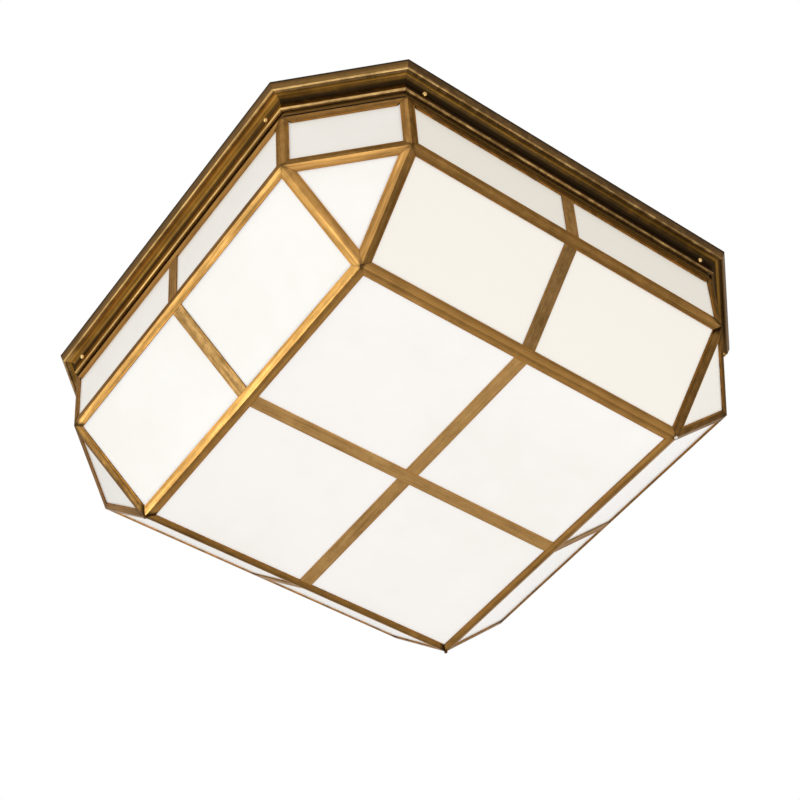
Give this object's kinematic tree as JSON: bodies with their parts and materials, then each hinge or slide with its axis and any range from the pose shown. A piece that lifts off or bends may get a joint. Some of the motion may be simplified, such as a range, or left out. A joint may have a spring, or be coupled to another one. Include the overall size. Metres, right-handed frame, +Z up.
{
  "type": "flush mount ceiling light",
  "caption": "Octagonal flush mount ceiling light: opal glass panes in a brass strip frame, hung under a brass moulded canopy by ball-headed screws.",
  "frame": {"origin": "centre of the two box-screw slots, on the ceiling plane", "axes": "+Z up into the ceiling, +X along the mounting crossbar, the shade hangs towards -Z"},
  "size_m": [0.5186, 0.5186, 0.1717],
  "materials": {
    "canopy_brass": "dark antiqued, brushed along each side",
    "shade_brass": "antiqued, brushed along the strip",
    "bright_brass": "polished, lightly worn",
    "shell_brass": "plain rolled",
    "clip_brass": "plain cut sheet",
    "dark_brass": "dark patina",
    "solder": "tin-lead solder, satin",
    "white_enamel": "white baked enamel",
    "zinc_steel": "zinc plated",
    "green_steel": "green dyed zinc",
    "cap_metal": "rolled thin aluminium",
    "porcelain": "white glazed porcelain",
    "phenolic": "brown-black phenolic",
    "nylon": "black nylon",
    "lead_sleeve": "woven glass sleeve",
    "opal_glass": "white opal sheet glass, smooth",
    "bulb_glass": "inside-frosted lamp glass"
  },
  "bodies": {
    "canopy": {"canopy_moulding_long": "canopy_brass", "canopy_moulding_corner": "canopy_brass", "canopy_plate": "white_enamel", "wire_bushing": "nylon", "mounting_crossbar": "zinc_steel", "canopy_studs": "zinc_steel", "canopy_cap_nuts": "bright_brass", "ground_screw": "green_steel", "terminal_block": "phenolic", "lamp_brackets": "zinc_steel", "bracket_rivets": "bright_brass", "lamp_holder_1": "porcelain", "lamp_holder_2": "porcelain", "lamp_holder_3": "porcelain", "lamp_holder_4": "porcelain", "holder_screw_shells": "shell_brass", "socket_leads": "lead_sleeve", "screw_inserts": "bright_brass"},
    "shade": {"bottom_rail_1": "shade_brass", "bottom_rail_2": "shade_brass", "bottom_rail_3": "shade_brass", "bottom_rail_4": "shade_brass", "bottom_cross_bar_long": "shade_brass", "bottom_cross_bar_halves": "shade_brass", "hip_bars": "shade_brass", "slope_bars": "shade_brass", "waist_rails_long": "shade_brass", "waist_rails_corner": "shade_brass", "corner_posts": "shade_brass", "band_bars": "shade_brass", "top_rails_long": "shade_brass", "top_rails_corner": "shade_brass", "neck_ring": "dark_brass", "bottom_panes": "opal_glass", "slope_panes": "opal_glass", "corner_panes": "opal_glass", "band_panes": "opal_glass", "band_corner_panes": "opal_glass", "glass_clips": "clip_brass", "solder_beads": "solder"},
    "lamp_1": {"lamp_base_1": "cap_metal", "lamp_bulb_1": "bulb_glass"},
    "lamp_2": {"lamp_base_2": "cap_metal", "lamp_bulb_2": "bulb_glass"},
    "lamp_3": {"lamp_base_3": "cap_metal", "lamp_bulb_3": "bulb_glass"},
    "lamp_4": {"lamp_base_4": "cap_metal", "lamp_bulb_4": "bulb_glass"},
    "screw_1": {"shade_screw_1": "bright_brass"},
    "screw_2": {"shade_screw_2": "bright_brass"},
    "screw_3": {"shade_screw_3": "bright_brass"},
    "screw_4": {"shade_screw_4": "bright_brass"},
    "screw_5": {"shade_screw_5": "bright_brass"},
    "screw_6": {"shade_screw_6": "bright_brass"},
    "screw_7": {"shade_screw_7": "bright_brass"},
    "screw_8": {"shade_screw_8": "bright_brass"}
  },
  "joints": [
    {"name": "shade_lift_off", "type": "slide", "parent": "canopy", "child": "shade", "axis": [0, 0, -1], "range_m": [0, 0.115]},
    {"name": "lamp_1_unscrew", "type": "slide", "parent": "canopy", "child": "lamp_1", "axis": [0.7071, 0.7071, 0], "range_m": [0, 0.03]},
    {"name": "lamp_2_unscrew", "type": "slide", "parent": "canopy", "child": "lamp_2", "axis": [-0.7071, 0.7071, 0], "range_m": [0, 0.03]},
    {"name": "lamp_3_unscrew", "type": "slide", "parent": "canopy", "child": "lamp_3", "axis": [-0.7071, -0.7071, 0], "range_m": [0, 0.03]},
    {"name": "lamp_4_unscrew", "type": "slide", "parent": "canopy", "child": "lamp_4", "axis": [0.7071, -0.7071, 0], "range_m": [0, 0.03]},
    {"name": "screw_1_unscrew", "type": "slide", "parent": "canopy", "child": "screw_1", "axis": [1, 0, 0], "range_m": [0, 0.004]},
    {"name": "screw_2_unscrew", "type": "slide", "parent": "canopy", "child": "screw_2", "axis": [1, 0, 0], "range_m": [0, 0.004]},
    {"name": "screw_3_unscrew", "type": "slide", "parent": "canopy", "child": "screw_3", "axis": [0, 1, 0], "range_m": [0, 0.004]},
    {"name": "screw_4_unscrew", "type": "slide", "parent": "canopy", "child": "screw_4", "axis": [0, 1, 0], "range_m": [0, 0.004]},
    {"name": "screw_5_unscrew", "type": "slide", "parent": "canopy", "child": "screw_5", "axis": [-1, 0, 0], "range_m": [0, 0.004]},
    {"name": "screw_6_unscrew", "type": "slide", "parent": "canopy", "child": "screw_6", "axis": [-1, 0, 0], "range_m": [0, 0.004]},
    {"name": "screw_7_unscrew", "type": "slide", "parent": "canopy", "child": "screw_7", "axis": [0, -1, 0], "range_m": [0, 0.004]},
    {"name": "screw_8_unscrew", "type": "slide", "parent": "canopy", "child": "screw_8", "axis": [0, -1, 0], "range_m": [0, 0.004]}
  ]
}
